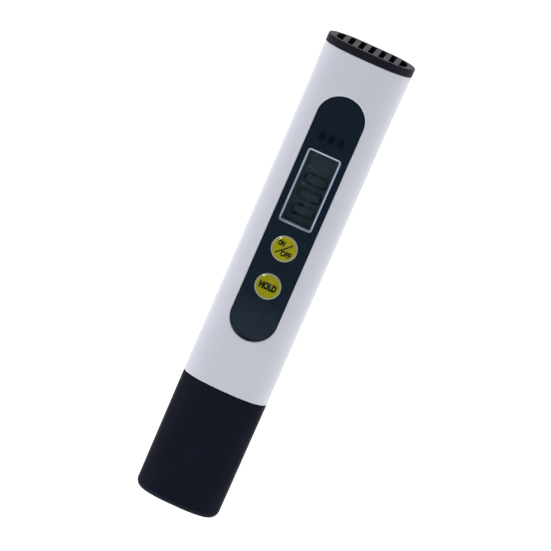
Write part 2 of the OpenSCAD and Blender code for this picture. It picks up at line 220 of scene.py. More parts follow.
def drum(radius, low, high, r):
    """Profile of a cylinder with round edges."""
    return ([(0, low)] + rounded(radius, low, r, turn=-1)
            + rounded(radius, high, r) + [(0, high)])


def block(name, low, high):
    """A plain box, used to cut or to join."""
    x, y, z = zip(low, high)
    verts = [(x[i], y[j], z[k]) for k in (0, 1) for j in (0, 1) for i in (0, 1)]
    faces = [(0, 2, 3, 1), (4, 5, 7, 6), (0, 1, 5, 4), (2, 6, 7, 3), (0, 4, 6, 2), (1, 3, 7, 5)]
    return solid(name, verts, faces)


def combine(base, tools, operation="DIFFERENCE"):
    """Cuts the tools out of base, or joins them to it, one after another."""
    for tool in tools:
        step = base.modifiers.new("combine", "BOOLEAN")
        step.solver = "EXACT"
        step.operation = operation
        step.object = tool
        mesh = evaluated_mesh(base)
        base.modifiers.clear()
        old, base.data = base.data, mesh
        bpy.data.meshes.remove(old)
        bpy.data.objects.remove(tool)
    finish_mesh(base.data)
    return base


def joined(name, things):
    """Several separate solids as one object."""
    bm = bmesh.new()
    for thing in things:
        bm.from_mesh(thing.data)
        bpy.data.objects.remove(thing)
    mesh = bpy.data.meshes.new(name)
    bm.to_mesh(mesh)
    bm.free()
    finish_mesh(mesh)
    return add_object(name, mesh)


def bevelled(thing, width, segments=3, angle=40):
    """Rounds the sharp edges of a piece with a modifier."""
    step = thing.modifiers.new("edges", "BEVEL")
    step.width = width
    step.segments = segments
    step.limit_method = "ANGLE"
    step.angle_limit = radians(angle)


def paint(thing, material):
    """Gives an object one material in place of any it has."""
    thing.data.materials.clear()
    thing.data.materials.append(material)


def place_piece(thing, name, body, material, nodes=()):
    """Names a piece and gives it its body and material, and hides the nodes it replaces."""
    thing.name = name
    paint(thing, material)
    even = thing.modifiers.new("even", "WEIGHTED_NORMAL")
    even.keep_sharp = True
    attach(thing, body)
    if nodes:
        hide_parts(*nodes)


# ---- The oval section ----

def soft_clip(value):
    """The smaller of value and 1, with a soft corner between."""
    gap = 1 - value
    return 1 - (gap + sqrt(gap * gap + CREASE * CREASE)) / 2


def section(angle, half_w, half_t):
    """A point of the oval, as X and height over the middle. The back is flattened."""
    c, s = cos(angle), sin(angle)
    power = 2 / SQUARENESS
    x = copysign(half_w * abs(c) ** power, c)
    rise = abs(s) ** power
    return x, (half_t * rise if s >= 0 else -half_t * soft_clip(BACK_BULGE * rise))


def oval(y, half_w, half_t, low=None, high=None):
    """The whole oval as a loop at Y, clipped to a lowest and a highest Z."""
    sides = 160
    loop = []
    for i in range(sides):
        x, z = section(2 * pi * i / sides, half_w, half_t)
        z += MID_Z
        if low is not None:
            z = min(max(z, low), high)
        loop.append(Vector((x, y, z)))
    return loop


def neck_oval(y, grow):
    """The neck's outline at Y, moved outwards."""
    return oval(y, NECK_HALF + grow, NECK_RISE + grow)


def body_half(y):
    """Half width of the body: straight, then flared to the battery end."""
    run = (y - (FLARE_END - FLARE_SPAN)) / FLARE_SPAN
    return BODY_HALF + FLARE * min(max(run, 0), 1) ** 2


def front_height(x, y):
    """Z of the front surface over a point."""
    share = min(abs(x) / body_half(y), 1)
    return MID_Z + HALF_T * (1 - share ** SQUARENESS) ** (1 / SQUARENESS)


def body_point(angle, y):
    """The point of the body's surface at an angle of the oval."""
    x, z = section(angle, body_half(y), HALF_T)
    return Vector((x, y, MID_Z + z))


def body_normal(angle, y):
    """Outward direction of the body's surface, across the pen."""
    step = 0.02
    a, b = body_point(angle - step, y), body_point(angle + step, y)
    return Vector((b.z - a.z, 0, a.x - b.x)).normalized()


# ---- Outlines in the plane of the label ----

ARC_SIDE = 22             # steps of an arc, at each end of it, that face a side edge
ARC_END = 44              # steps in the middle of an arc, that face an end edge
STRAIGHT = 56             # steps of a straight side


def stadium(half, grow=0):
    """The label's outline, anticlockwise from its lower right. grow moves it outwards."""
    low, high = LABEL_LOW.y + half, LABEL_HIGH.y - half
    r = half + grow
    steps = 2 * ARC_SIDE + ARC_END
    points = []
    for side, start, end in ((1, low, high), (-1, high, low)):
        points += [(side * r, start + (end - start) * i / STRAIGHT) for i in range(STRAIGHT)]
        points += [(side * r * cos(a), end + side * r * sin(a))
                   for a in (pi * i / steps for i in range(steps))]
    return points


def circle(y, r):
    """A circle round X = 0 at Y."""
    sides = 72
    return [(r * cos(a), y + r * sin(a)) for a in (2 * pi * i / sides for i in range(sides))]


def round_rectangle(half_w, half_l, r, y):
    """Rectangle with round corners, centred on X = 0 at Y."""
    steps = 8
    points = []
    for k, (sx, sy) in enumerate(((1, 1), (-1, 1), (-1, -1), (1, -1))):
        for i in range(steps + 1):
            a = pi / 2 * (k + i / steps)
            points.append((sx * (half_w - r) + r * cos(a),
                           y + sy * (half_l - r) + r * sin(a)))
    return points


def window_outline(grow, r):
    """The display window's outline, moved outwards, with corners of radius r."""
    return round_rectangle(WINDOW_HALF_W + grow, WINDOW_HALF_L + grow, r, WINDOW_Y)


def plate(name, outer, holes, low, high, edge):
    """A flat plate with holes and a round top edge. outer and holes give an outline
    for an amount of growth."""
    verts, faces, tops, bottoms = [], [], [], []
    for outline, turn in [(outer, 1)] + [(hole, -1) for hole in holes]:
        levels = [(low, 0)] + [(high - edge + edge * sin(a), -turn * edge * (1 - cos(a)))
                               for a in quarter(4)]
        loops = [[Vector((x, y, z)) for x, y in outline(grow)] for z, grow in levels]
        some, walls = skin(loops, start=False, end=False)
        start = len(verts)
        verts += some
        faces += [tuple(start + i for i in face) for face in walls]
        count = len(loops[0])
        bottoms.append(range(start, start + count))
        tops.append(range(len(verts) - count, len(verts)))
    for rims in (tops, bottoms):
        flat = [i for rim in rims for i in rim]
        triangles = tessellate_polygon([[Vector((verts[i][0], verts[i][1], 0)) for i in rim]
                                        for rim in rims])
        faces += [tuple(flat[i] for i in triangle) for triangle in triangles]
    return solid(name, verts, faces)


# ---- Materials ----

def nodes_of(name):
    """A new material, its node tree and its Principled shader."""
    material = bpy.data.materials.new(name)
    material.use_nodes = True
    tree = material.node_tree
    return material, tree, tree.nodes["Principled BSDF"]


def add_node(tree, kind, **inputs):
    """A new shader node with some of its inputs set. _ stands for a space in a name."""
    node = tree.nodes.new("ShaderNode" + kind)
    for name, value in inputs.items():
        node.inputs[name.replace("_", " ")].default_value = value
    return node


def noise(tree, size, detail=3.0, stretch=(1, 1, 1)):
    """Noise whose features are about size metres across, fixed to the piece."""
    mapping = add_node(tree, "Mapping", Scale=stretch)
    texture = add_node(tree, "TexNoise", Scale=1 / size, Detail=detail)
    tree.links.new(add_node(tree, "TexCoord").outputs["Object"], mapping.inputs["Vector"])
    tree.links.new(mapping.outputs["Vector"], texture.inputs["Vector"])
    return texture.outputs["Fac"]


NOISE_LOW, NOISE_HIGH = 0.3, 0.7      # nearly all of a noise texture lies between


def spread(tree, factor, low, high):
    """Turns noise into a value between low and high."""
    node = add_node(tree, "MapRange", From_Min=NOISE_LOW, From_Max=NOISE_HIGH,
                    To_Min=low, To_Max=high)
    tree.links.new(factor, node.inputs["Value"])
    return node.outputs["Result"]


def two_tone(tree, factor, dark, light):
    """Turns noise, or bands, into a colour between two colours."""
    ramp = add_node(tree, "ValToRGB")
    ramp.color_ramp.elements[0].position = NOISE_LOW
    ramp.color_ramp.elements[1].position = NOISE_HIGH
    ramp.color_ramp.elements[0].color = (*dark, 1)
    ramp.color_ramp.elements[1].color = (*light, 1)
    tree.links.new(factor, ramp.inputs["Fac"])
    return ramp.outputs["Color"]


def add_bump(tree, shader, height, depth):
    bump = add_node(tree, "Bump", Strength=1, Distance=depth)
    tree.links.new(height, bump.inputs["Height"])
    tree.links.new(bump.outputs["Normal"], shader.inputs["Normal"])


def plastic(name, colour, vary=0.04, rough=(0.3, 0.4), grain=0.25 * MM, depth=0.004 * MM,
            ior=1.5, patch=9 * MM):
    """Moulded plastic: faint colour patches, uneven gloss and a fine grain."""
    material, tree, shader = nodes_of(name)
    dark = tuple(c * (1 - vary) for c in colour)
    light = tuple(min(1, c * (1 + vary)) for c in colour)
    tree.links.new(two_tone(tree, noise(tree, patch), dark, light), shader.inputs["Base Color"])
    tree.links.new(spread(tree, noise(tree, patch / 3), *rough), shader.inputs["Roughness"])
    add_bump(tree, shader, noise(tree, grain, 2), depth)
    shader.inputs["IOR"].default_value = ior
    return material


def metal(name, colour, rough=(0.2, 0.35), stretch=(1, 12, 1), depth=0.003 * MM):
    """Drawn or turned metal, with fine lines across the stretch."""
    material, tree, shader = nodes_of(name)
    lines = noise(tree, 0.3 * MM, 4, stretch)
    groove_shade = 0.86
    dark = tuple(c * groove_shade for c in colour)
    tree.links.new(two_tone(tree, lines, dark, colour), shader.inputs["Base Color"])
    tree.links.new(spread(tree, noise(tree, 2 * MM), *rough), shader.inputs["Roughness"])
    add_bump(tree, shader, lines, depth)
    shader.inputs["Metallic"].default_value = 1
    return material


def clear(name, tint, rough, ior):
    """Clear plastic that lets the lamps' light through to what lies under it."""
    material, tree, shader = nodes_of(name)
    shader.inputs["Base Color"].default_value = (*tint, 1)
    shader.inputs["Transmission Weight"].default_value = 1
    shader.inputs["IOR"].default_value = ior
    tree.links.new(spread(tree, noise(tree, 3 * MM), *rough), shader.inputs["Roughness"])
    through = add_node(tree, "BsdfTransparent")
    path = add_node(tree, "LightPath")
    mix = add_node(tree, "MixShader")
    tree.links.new(path.outputs["Is Shadow Ray"], mix.inputs["Fac"])
    tree.links.new(shader.outputs["BSDF"], mix.inputs[1])
    tree.links.new(through.outputs["BSDF"], mix.inputs[2])
    tree.links.new(mix.outputs["Shader"], tree.nodes["Material Output"].inputs["Surface"])
    return material


def striped(name, one, other, period, axis):
    """Bands of two colours across an axis, such as a layered rubber strip."""
    material, tree, shader = nodes_of(name)
    unit_period = 0.314       # of a wave texture whose scale is 1
    wave = add_node(tree, "TexWave", Scale=unit_period / period, Distortion=0.2)
    wave.bands_direction = axis
    tree.links.new(add_node(tree, "TexCoord").outputs["Object"], wave.inputs["Vector"])
    tree.links.new(two_tone(tree, wave.outputs["Fac"], one, other), shader.inputs["Base Color"])
    shader.inputs["Roughness"].default_value = 0.5
    return material


SHELL_WHITE = plastic("shell_white", (0.618, 0.64, 0.692), 0.012, (0.34, 0.44),
                      0.35 * MM, 0.003 * MM, ior=1.35)
CAP_DARK = plastic("cap_dark", (0.0074, 0.0093, 0.0165), 0.1, (0.44, 0.5),
                   0.22 * MM, 0.003 * MM, ior=1.1)
DRAWER_DARK = plastic("drawer_dark", (0.0095, 0.0105, 0.0165), 0.1, (0.42, 0.48),
                      0.22 * MM, 0.003 * MM, ior=1.2)
LABEL_DARK = plastic("label_dark", (0.0082, 0.0152, 0.0252), 0.06, (0.05, 0.1),
                     1.5 * MM, 0.0001 * MM, ior=1.3)
MARK_DARK = plastic("mark_dark", (0.0032, 0.007, 0.0128), 0.1, (0.03, 0.06),
                    1.5 * MM, 0.0001 * MM, ior=1.3)
BORDER_PALE = plastic("border_pale", (0.46, 0.51, 0.64), 0.03, (0.35, 0.45))
# Black of the ring under the lens: print, and also painted shade for the gap beside the display.
MASK_BLACK_GAP_SHADE = plastic("mask_black_gap_shade", (0.004, 0.005, 0.006), 0.1, (0.4, 0.5))
LENS_CLEAR = clear("lens_clear", (0.97, 0.985, 1.0), (0.01, 0.03), 1.22)
DOME_CLEAR = clear("dome_clear", (1.0, 1.0, 0.95), (0.02, 0.05), 1.35)
LCD_FACE = plastic("lcd_face", (0.0145, 0.0237, 0.029), 0.05, (0.22, 0.28),
                   0.12 * MM, 0.001 * MM, ior=1.3)
LCD_SEGMENT = plastic("lcd_segment", (0.0045, 0.0075, 0.0095), 0.1, (0.25, 0.35), ior=1.2)
FRAME_BLACK = plastic("frame_black", (0.012, 0.012, 0.013), 0.1, (0.45, 0.6))
BUTTON_PALE = plastic("button_pale", (0.56, 0.59, 0.45), 0.04, (0.18, 0.28), ior=1.3)
DISC_YELLOW = plastic("disc_yellow", (0.275, 0.258, 0.002), 0.06, (0.35, 0.45), ior=1.1)
INK_BLACK = plastic("ink_black", (0.004, 0.004, 0.003), 0.1, (0.4, 0.5), ior=1.1)
BOARD_GREEN = plastic("board_green", (0.010, 0.085, 0.030), 0.25, (0.25, 0.4),
                      0.5 * MM, 0.01 * MM, patch=2 * MM)
RESIN_BLACK = plastic("resin_black", (0.006, 0.006, 0.006), 0.2, (0.15, 0.3))
CHIP_PARTS = plastic("chip_parts", (0.30, 0.21, 0.12), 0.25, (0.35, 0.5), patch=1.5 * MM)
BEAD_RED = plastic("bead_red", (0.30, 0.03, 0.015), 0.1, (0.2, 0.3))
LEAD_RED = plastic("lead_red", (0.35, 0.03, 0.02), 0.08, (0.4, 0.5))
SEAL_BLACK = plastic("seal_black", (0.008, 0.008, 0.008), 0.15, (0.5, 0.65))
ZEBRA = striped("zebra_strip", (0.25, 0.1, 0.12), (0.03, 0.03, 0.03), 0.4 * MM, "Y")
STEEL = metal("screw_steel", (0.55, 0.55, 0.56))
PIN_METAL = metal("pin_metal", (0.60, 0.58, 0.55), (0.22, 0.32), (1, 5, 1), 0.0006 * MM)
CELL_STEEL = metal("cell_steel", (0.5, 0.5, 0.49), (0.3, 0.4), (1, 6, 1))
BRASS = metal("contact_brass", (0.75, 0.58, 0.28), (0.25, 0.4))


# ---- Shells ----

def front_skin():
    """Outer form of the front shell, closed at the parting plane: loops that start
    at the floor of the label's recess, climb its wall and its round rim, spread over
    the oval front and round off into the parting plane and the two end faces."""
    recess = LABEL_HALF + LABEL_PLAY
    loops = [[Vector((x, y, LABEL_LOW.z)) for x, y in stadium(recess)]]
    rim_line = stadium(recess, RIM)
    for a in quarter(5):
        line = stadium(recess, RIM * (1 - cos(a)))
        drop = RIM * (1 - sin(a))
        loops.append([Vector((x, y, front_height(*over) - drop))
                      for (x, y), over in zip(line, rim_line)])
    inner = []
    for x, y in rim_line:
        share = copysign(min(abs(x) / body_half(y), 1) ** (SQUARENESS / 2), x)
        inner.append((acos(share), y))
    first = (EDGE / HALF_T) ** (SQUARENESS / 2)
    outer, ways = shell_border(first, BODY_LOW + EDGE, BODY_TOP - EDGE)
    steps = 34
    crowd = 0.25              # draws the last steps closer together
    for k in range(1, steps + 1):
        f = k / steps
        f = f * (1 + crowd - crowd * f * f) if f < 1 else 1
        loops.append([body_point(a + (b - a) * f, y + (z - y) * f)
                      for (a, y), (b, z) in zip(inner, outer)])
    border = loops[-1]
    for a in quarter(4)[1:]:
        loops.append([p + way * EDGE * sin(a) - body_normal(b, z) * EDGE * (1 - cos(a))
                      for p, way, (b, z) in zip(border, ways, outer)])
    verts, faces = skin(loops, end=False)
    count = len(border)
    last = len(verts) - count
    corners = [STRAIGHT + ARC_SIDE]
    for run in (ARC_END, 2 * ARC_SIDE + STRAIGHT) * 2:
        corners.append(corners[-1] + run)
    top, left, low, right = [list(range(a, b + 1)) for a, b in zip(corners, corners[1:])]
    faces += [tuple(last + i % count for i in line) for line in (top, low, right + left)]
    return solid("front_form", verts, faces)


def shell_border(first, low, high):
    """For each point of the label's outline, a point on the edge of the half shell as
    (angle, Y), and the direction in which that edge rounds off."""
    label_low = LABEL_LOW.y + LABEL_HALF + LABEL_PLAY
    label_high = LABEL_HIGH.y - LABEL_HALF - LABEL_PLAY
    last = pi - first
    down = Vector((0, 0, -1))
    none, up_end, low_end = Vector((0, 0, 0)), Vector((0, 1, 0)), Vector((0, -1, 0))
    legs = [(first, label_low, STRAIGHT, down, none),
            (first, label_high, ARC_SIDE, down, none),
            (first, high, ARC_END, up_end, down),
            (last, high, ARC_SIDE, down, up_end),
            (last, label_high, STRAIGHT, down, none),
            (last, label_low, ARC_SIDE, down, none),
            (last, low, ARC_END, low_end, down),
            (first, low, ARC_SIDE, down, low_end)]
    points, ways = [], []
    for (a, y, steps, way, corner), (b, z, *_) in zip(legs, legs[1:] + legs[:1]):
        for i in range(steps):
            f = i / steps
            points.append((a + (b - a) * f, y + (z - y) * f))
            ways.append(way + corner if i == 0 else way)
    return points, ways


def half_loft(name, stations, side, half_t):
    """A half of the oval, in front (side 1) or behind (side -1) of the parting plane.
    stations are (Y, half width, inset)."""
    first = (EDGE / half_t) ** (SQUARENESS / 2)
    steps = 96
    loops = []
    for y, half_w, inset in stations:
        loop = []
        x, z = section(first, half_w - inset, half_t - inset)
        for a in quarter(3)[:0:-1]:
            loop.append(Vector((x - EDGE * (1 - cos(a)), y,
                                MID_Z + side * max(z - EDGE * sin(a), 0))))
        for i in range(steps + 1):
            x, z = section(side * (first + (pi - 2 * first) * i / steps),
                           half_w - inset, half_t - inset)
            loop.append(Vector((x, y, MID_Z + z)))
        loop += [Vector((-p.x, y, p.z)) for p in reversed(loop[:3])]
        loops.append(loop)
    return loft(name, loops)


def body_stations():
    """Stations of half_loft along the whole body, with round ends."""
    steps = 40
    turns = [(EDGE * (1 - cos(a)), EDGE * (1 - sin(a))) for a in quarter(3)]
    between = [BODY_LOW + (BODY_TOP - BODY_LOW) * i / steps for i in range(1, steps)]
    return ([(BODY_LOW + run, body_half(BODY_LOW), inset) for run, inset in turns]
            + [(y, body_half(y), 0) for y in between]
            + [(BODY_TOP - run, body_half(BODY_TOP), inset) for inset, run in turns])


def neck_form(side):
    """Half of the neck that the cap slides over."""
    lead, bend = 0.3 * MM, 0.09 * MM
    stations = [(NECK_LOW, NECK_HALF, lead), (NECK_LOW + bend, NECK_HALF, bend),
                (NECK_LOW + lead, NECK_HALF, 0), (BODY_LOW + 1 * MM, NECK_HALF, 0)]
    return half_loft("neck", stations, side, NECK_RISE)


def hollow():
    """The space inside both shells."""
    step = 2 * MM
    clip = {"low": FLOOR_Z, "high": CEILING_Z}
    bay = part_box("battery_drawer")[0].y - 1.1 * MM
    return loft("hollow", [
        neck_oval(NECK_LOW - step, -WALL),
        neck_oval(SEAM + step, -WALL),
        oval(SEAM + step, BODY_HALF - WALL, BAY_RISE, **clip),
        oval(bay, BODY_HALF - WALL, BAY_RISE, **clip),
        oval(bay, BAY_HALF, BAY_RISE, **clip),
        oval(HIGH.y, BAY_HALF, BAY_RISE, **clip)])


def seal_groove():
    """Ring that cuts the seal's groove into the neck."""
    low, high = SEAL_LOW.y - SEAL_PROUD, SEAL_HIGH.y + SEAL_PROUD
    depth, out = 0.6 * MM, 1 * MM
    return ring("groove", [neck_oval(low, -depth), neck_oval(low, out),
                           neck_oval(high, out), neck_oval(high, -depth)])


def column(x, y, r, low, high):
    """A plain upright cylinder, used to cut or to join."""
    return lathe("column", [(0, low), (r, low), (r, high), (0, high)],
                 Matrix.Translation((x, y, 0)), 48)


def screw_places(node):
    """X and Y of each screw in a node of two screws."""
    low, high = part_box(node)
    first = (low.x + SCREW_R, low.y + SCREW_R)
    if high.x - low.x > 2 * SCREW_R + EDGE:
        return [first, (high.x - SCREW_R, low.y + SCREW_R)]
    return [first, (low.x + SCREW_R, high.y - SCREW_R)]


def neck_bosses(low, high):
    """Bosses for the case screws, trimmed to the inside of the neck's wall."""
    boss_r = 2.4 * MM
    depth = WALL / 2
    made = []
    for x, y in screw_places("case_screws"):
        core = loft("core", [neck_oval(NECK_LOW, -depth), neck_oval(SEAM, -depth)])
        made.append(combine(column(x, y, boss_r, low, high), [core], "INTERSECT"))
    return made


def prism(name, outline, low, high):
    return loft(name, [[Vector((x, y, z)) for x, y in outline] for z in (low, high)])


HOOK_MIDDLES = (-2.5 * MM, 26.5 * MM, 50.5 * MM)
HOOK_HALF = 2 * MM
HOOK_PARTS = ((1.2, -0.2, 2.6), (0.8, -2, 0.1), (1.5, -2, -1.3))      # root, arm and lip


def beside(name, inner, parts, play=0):
    """Blocks at the hooks' places, on both sides of the body, from inner outwards. parts
    are (width, low, high) in mm, with heights from the parting plane."""
    made = []
    for side in (-1, 1):
        for y in HOOK_MIDDLES:
            for width, low, high in parts:
                a, b = sorted((side * inner, side * (inner + width * MM)))
                made.append(block(name, (a, y - HOOK_HALF - play, MID_Z + low * MM),
                                  (b, y + HOOK_HALF + play, MID_Z + high * MM)))
    return made


def snap_hooks():
    """Hooks down from the front shell's side walls."""
    return beside("hook", BODY_HALF - WALL - 1.5 * MM, HOOK_PARTS)


def hook_slots():
    """Slots in the rear shell's side walls that the hooks' lips spring into."""
    return beside("slot", BODY_HALF - WALL - 0.4 * MM, [(1, -2.1, -1.2)], play=0.1 * MM)


def drawer_rails():
    """Two rails that the battery tray slides along."""
    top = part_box("rear_shell")[1].y
    far, near = 14.45 * MM, 2.45 * MM       # from the shell's end
    half, sunk, rise = 0.7 * MM, 0.2 * MM, 1.2 * MM
    return [block("rail", (x - half, top - far, FLOOR_Z - sunk),
                  (x + half, top - near, FLOOR_Z + rise)) for x in (-6 * MM, 6 * MM)]


def front_shell():
    over = 1 * MM
    board_boss_r, bore_r = 2.3 * MM, 1 * MM
    opening = round_rectangle(WINDOW_HALF_W - 0.75 * MM, WINDOW_HALF_L - 0.55 * MM,
                              0.8 * MM, WINDOW_Y)
    shell = combine(front_skin(), [neck_form(1)], "UNION")
    shell = combine(shell, [hollow(), seal_groove(),
                            prism("opening", opening, CEILING_Z - over, HIGH.z)])
    board_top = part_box("circuit_board")[1].z
    on_board, in_neck = screw_places("board_screws"), screw_places("case_screws")
    bosses = [column(x, y, board_boss_r, board_top, CEILING_Z + over / 4) for x, y in on_board]
    shell = combine(shell, bosses + neck_bosses(MID_Z, HIGH.z) + snap_hooks(), "UNION")
    bores = [column(0, middle(box).y, BUTTON_R + 0.075 * MM, CEILING_Z - over, HIGH.z)
             for box in BUTTONS.values()]
    bores += [column(x, y, bore_r, board_top - over, CEILING_Z) for x, y in on_board]
    bores += [column(x, y, bore_r, MID_Z - over, CEILING_Z) for x, y in in_neck]
    shell = combine(shell, bores)
    place_piece(shell, "front_shell_moulding", "housing", SHELL_WHITE,
                ["front_shell"])


def rear_shell():
    form = half_loft("rear_form", body_stations(), -1, HALF_T)
    shell = combine(form, [neck_form(-1)], "UNION")
    shell = combine(shell, [hollow(), seal_groove()])
    over = 1 * MM
    seat_r, hole_r, seat_depth = 1.9 * MM, 1.1 * MM, 1.2 * MM
    seat_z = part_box("case_screws")[0].z + seat_depth
    seats = []
    for x, y in screw_places("case_screws"):
        seats += [column(x, y, seat_r, LOW.z, seat_z), column(x, y, hole_r, LOW.z, MID_Z + over)]
    shell = combine(shell, neck_bosses(LOW.z, MID_Z) + drawer_rails(), "UNION")
    shell = combine(shell, seats + hook_slots())
    place_piece(shell, "rear_shell_moulding", "housing", SHELL_WHITE,
                ["rear_shell"])


# ---- Label, window and display ----

def label():
    window_play, button_play, edge = 0.05 * MM, 0.125 * MM, 0.12 * MM
    holes = [lambda grow: window_outline(window_play + grow, 1 * MM + grow)]
    for box in BUTTONS.values():
        holes.append(lambda grow, y=middle(box).y: circle(y, BUTTON_R + button_play + grow))
    thing = plate("label", lambda grow: stadium(LABEL_HALF, grow), holes,
                  LABEL_LOW.z, LABEL_HIGH.z, edge)
    place_piece(thing, "label_plate", "housing", LABEL_DARK, ["front_label"])


def ring_print(name, outer, inner, low, high):
    """A flat printed ring between two outlines."""
    return plate(name, lambda grow: outer, [lambda grow: inner], low, high, 0.001 * MM)


def window():
    corner, line = 0.95 * MM, 0.5 * MM
    ink, seat = 0.03 * MM, 0.02 * MM
    lens_low = WINDOW_LOW.z + seat + 2 * ink
    lens = plate("lens", lambda grow: window_outline(grow, corner + grow), [],
                 lens_low, WINDOW_HIGH.z, 0.1 * MM)
    place_piece(lens, "window_lens", "housing", LENS_CLEAR, ["display_window"])
    border = ring_print("border", window_outline(0, corner), window_outline(-line, 0.5 * MM),
                        lens_low - ink, lens_low - 0.1 * ink)
    place_piece(border, "window_border_print", "housing", BORDER_PALE)
    # Black ring printed under the lens round the display. Its dark band between the border and
    # the display's face is painted shade, standing in for the shadowed gap there.
    gap_shade_ring = ring_print("gap_shade_ring", window_outline(-line / 2, 0.6 * MM),
                      round_rectangle(4.5 * MM, 11.4 * MM, 0.3 * MM, WINDOW_Y),
                      lens_low - 2 * ink, lens_low - 1.1 * ink)
    place_piece(gap_shade_ring, "window_mask_print_gap_shade", "housing", MASK_BLACK_GAP_SHADE)


def segment(cx, cy, length, upright, width, low, high):
    """One bar of a digit with pointed ends. upright bars run along X, across the pen."""
    h, w = length / 2, width / 2
    points = [(-h, 0), (-h + w, -w), (h - w, -w), (h, 0), (h - w, w), (-h + w, w)]
    if not upright:
        points = [(-y, x) for x, y in points]
    return prism("bar", [(cx + x, cy + y) for x, y in points], low, high)


def display():
    low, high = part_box("lcd_glass")
    glass = block("glass", low, high)
    bevelled(glass, 0.15 * MM)
    place_piece(glass, "lcd_cell", "housing", LCD_FACE, ["lcd_glass"])
    bottom = high.z + 0.01 * MM
    top = bottom + 0.02 * MM
    centre_x, width, gap = 0.5 * MM, 0.95 * MM, 0.12 * MM
    half_h, half_w = 3.45 * MM, 1.5 * MM            # of a digit, to the middles of its bars
    digits = (3.05 * MM, -2.1 * MM, -7.1 * MM)      # from the window's middle
    bars = []
    for y in (WINDOW_Y + offset for offset in digits):
        bars += [segment(x, y, 2 * half_w - gap, False, width, bottom, top)
                 for x in (centre_x - half_h, centre_x + half_h)]
        bars += [segment(x, y + side, half_h - gap, True, width, bottom, top)
                 for side in (-half_w, half_w)
                 for x in (centre_x - half_h / 2, centre_x + half_h / 2)]
    place_piece(joined("bars", bars), "lcd_digits", "housing", LCD_SEGMENT)


def drop_outline(x, y, r):
    """A water drop: round below, drawn to a point above."""
    points, sides, point = [], 24, 0.9
    for i in range(sides):
        a = 2 * pi * i / sides
        reach = 1 + point * max(sin(a), 0) ** 4
        points.append((x + r * cos(a), y + r * sin(a) * reach))
    return points


def label_marks():
    """Three plain water drops, dark on dark, over the window."""
    top = LABEL_HIGH.z
    y = WINDOW_HIGH.y + 4.5 * MM
    pitch, r, ink = 3.1 * MM, 1.15 * MM, 0.01 * MM
    drops = [prism("drop", drop_outline(x, y, r), top, top + ink) for x in (-pitch, 0, pitch)]
    place_piece(joined("drops", drops), "label_marks", "housing", MARK_DARK)


# ---- Cap ----

def cap():
    low = LOW.y
    end_half, seam_half = 13.7 * MM, BODY_HALF - 0.05 * MM
    corner, edge, rim = 2.8 * MM, 2.2 * MM, 0.15 * MM
    pocket_corner, pocket_edge, floor = 1.8 * MM, 0.8 * MM, 1.6 * MM
    pocket_half, pocket_rise = NECK_HALF + NECK_PLAY, NECK_RISE + NECK_PLAY
    steps, rows = 20, 12
    curve = [(i / steps) ** 2 for i in range(steps + 1)]
    loops = [oval(low + floor + d, pocket_half - rounded_in(d, pocket_corner),
                  pocket_rise - rounded_in(d, pocket_edge))
             for d in (f * pocket_corner for f in curve)]
    for a in quarter(3):
        grow = NECK_PLAY + rim * (1 - cos(a))
        loops.append(neck_oval(SEAM - rim + rim * sin(a), grow))
    for a in quarter(3):
        shrink = rim * (1 - sin(a))
        loops.append(oval(SEAM - rim + rim * cos(a), seam_half - shrink, HALF_T - shrink))
    run = SEAM - rim - low - corner
    for d in ([corner + run * i / rows for i in reversed(range(rows))]
              + [f * corner for f in curve[-2::-1]]):
        half = end_half + (seam_half - end_half) * d / (SEAM - low)
        loops.append(oval(low + d, half - rounded_in(d, corner), HALF_T - rounded_in(d, edge)))
    place_piece(loft("cap", loops), "cap_moulding", "cap", CAP_DARK,
                ["protective_cap"])


def seal():
    """Rubber ring with a round outer face."""
    low, high = SEAL_LOW.y, SEAL_HIGH.y
    r, steps, swell = (high - low) / 2, 8, 0.9
    depth = 0.58 * MM
    loops = []
    for a in (pi * k / steps for k in range(steps + 1)):
        bulge = swell * r * (sin(a) - 1)
        loops.append(oval(middle((SEAL_LOW, SEAL_HIGH)).y - r * cos(a),
                          SEAL_HIGH.x + bulge, SEAL_HIGH.z - MID_Z + bulge))
    loops += [neck_oval(high, -depth), neck_oval(low, -depth)]
    place_piece(ring("seal", loops), "seal_ring", "housing", SEAL_BLACK,
                ["neck_seal"])


# ---- Battery drawer ----

GRILLE_HALF = 11.5 * MM
GRILLE_RISE = 5.6 * MM
GRILLE_SQUARENESS = 3.7
BARS = 6
BAR_PITCH = 3.35 * MM
BAR_HALF = 0.83 * MM
GRILLE_DEPTH = 2 * MM


def slot_outline(left, right, grow):
    """Outline, in X and height, of one slot between two bars of the oval grille."""
    half, rise = GRILLE_HALF + grow, GRILLE_RISE + grow
    left, right = max(left - grow, -half), min(right + grow, half)
    steps, least = 14, 0.0005
    xs = [left + (right - left) * (1 - cos(pi * i / steps)) / 2 for i in range(steps + 1)]

    def up(x):
        share = (abs(x) / half) ** GRILLE_SQUARENESS
        return rise * max(1 - share, least) ** (1 / GRILLE_SQUARENESS)

    return [(x, -up(x)) for x in xs] + [(x, up(x)) for x in reversed(xs)]


def grille_cutters():
    """Slots between the bars, a little narrower at their floors and chamfered in front."""
    chamfer, draft, over = 0.08 * MM, 0.05 * MM, 0.3 * MM
    levels = ((HIGH.y - GRILLE_DEPTH, -draft), (HIGH.y - chamfer, 0),
              (HIGH.y + over, chamfer + over))
    middles = [(i - (BARS - 1) / 2) * BAR_PITCH for i in range(BARS)]
    lefts = [-GRILLE_HALF] + [x + BAR_HALF for x in middles]
    rights = [x - BAR_HALF for x in middles] + [GRILLE_HALF]
    return [loft("slot", [[Vector((x, y, MID_Z + z)) for x, z in slot_outline(left, right, grow)]
                          for y, grow in levels]) for left, right in zip(lefts, rights)]


